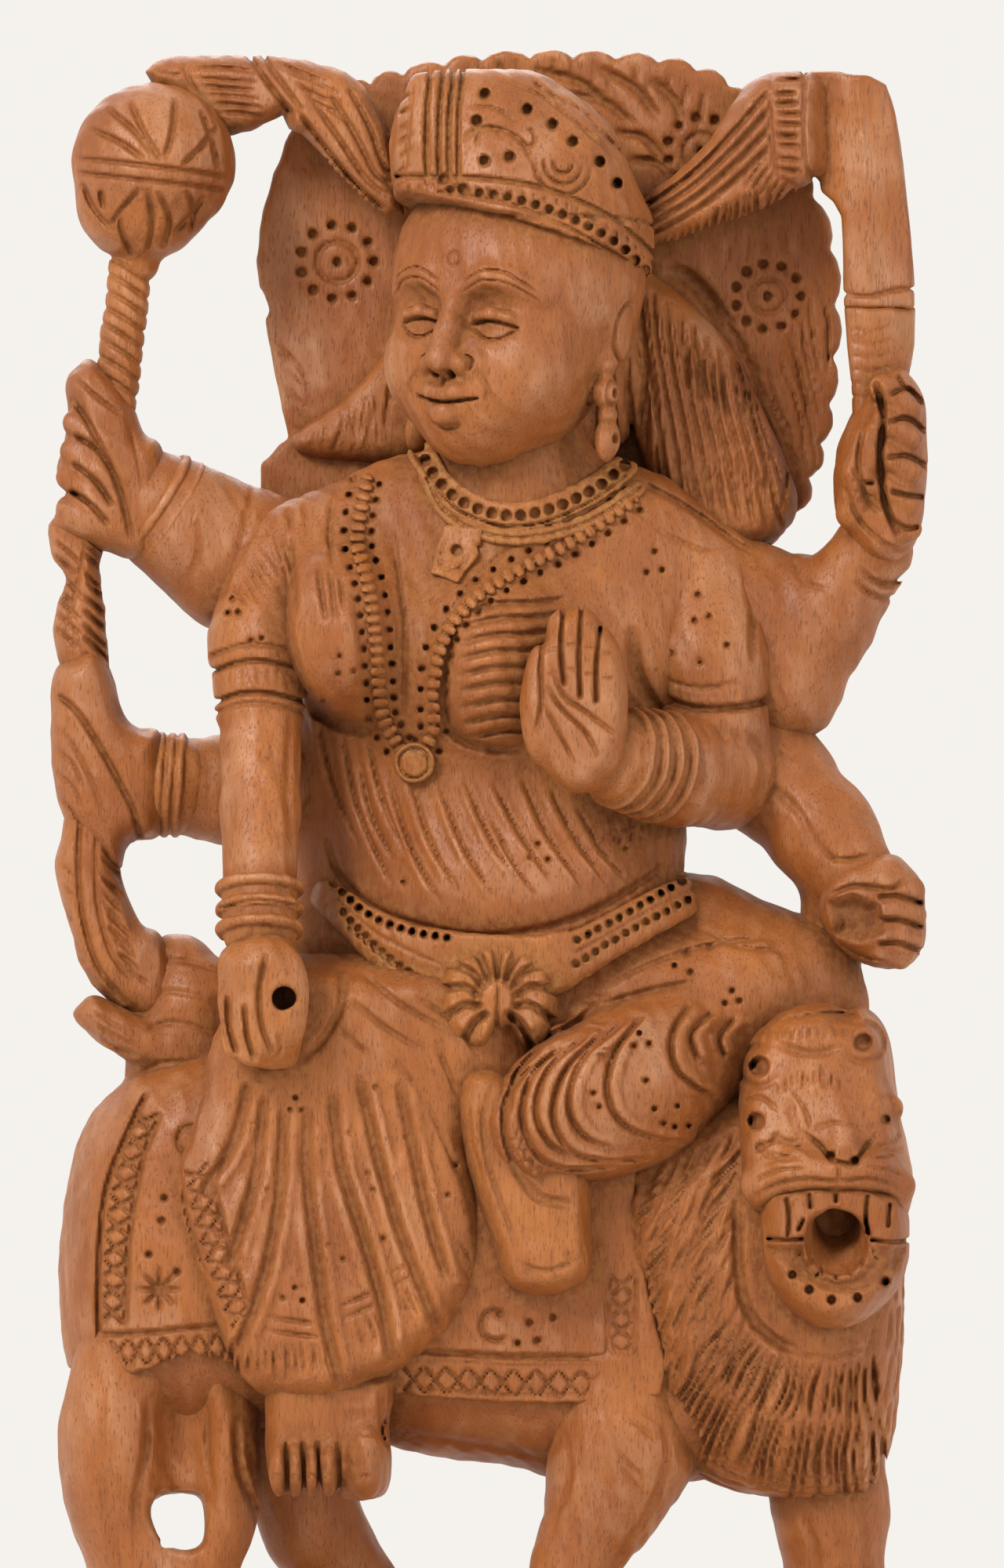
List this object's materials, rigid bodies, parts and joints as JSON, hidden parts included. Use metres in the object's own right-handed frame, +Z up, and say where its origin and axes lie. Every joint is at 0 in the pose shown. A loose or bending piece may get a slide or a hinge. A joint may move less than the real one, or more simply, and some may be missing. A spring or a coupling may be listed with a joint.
{
  "type": "carved wooden deity figurine",
  "caption": "Carved wooden figurine of a many-armed goddess seated side-saddle on a striding lion, with a scalloped halo, mace and sword, on a plain rectangular plinth.",
  "frame": {"origin": "centre of the plinth's underside", "axes": "+Z up through the figure, the figure faces -Y, +X to the right of the front view"},
  "size_m": [0.116, 0.064, 0.233],
  "materials": {
    "wood": "waxed satin reddish-brown wood with fine upright grain",
    "wood_light": "waxed satin wood, rubbed paler on raised carving",
    "wood_shaded": "waxed satin wood, darker in the recessed carving"
  },
  "bodies": {
    "root": {"plinth": "wood_shaded", "lion_body": "wood", "lion_mane": "wood_shaded", "lion_head": "wood", "lion_jaw": "wood_light", "hind_leg_left": "wood", "hind_leg_right": "wood_shaded", "fore_leg_left": "wood", "fore_leg_right": "wood", "lion_tail": "wood", "saddle_cloth": "wood_light", "torso": "wood", "girdle": "wood_light", "girdle_rosette": "wood_light", "skirt": "wood_light", "hanging_foot": "wood", "folded_leg": "wood_light", "folded_foot": "wood", "head": "wood_light", "crown": "wood_light", "hair": "wood_shaded", "halo": "wood_shaded", "necklace": "wood_light", "garland": "wood_light", "pendant": "wood", "front_arm": "wood", "front_bangles": "wood_light", "front_fist": "wood", "mace_arm": "wood", "mace_arm_bangles": "wood_light", "mace_hand": "wood_light", "mace_head": "wood", "mace_shaft": "wood", "mace_foot": "wood", "leaf": "wood_shaded", "lower_arm": "wood", "lower_arm_bangles": "wood_light", "lower_hand": "wood_light", "palm_arm": "wood", "palm_bangles": "wood_light", "open_palm": "wood_light", "sword_arm": "wood", "sword_hand": "wood_light", "sword_hilt": "wood_shaded", "sword_blade": "wood", "low_right_arm": "wood", "low_right_fist": "wood_light", "arch_left": "wood", "arch_right": "wood"}
  },
  "joints": []
}
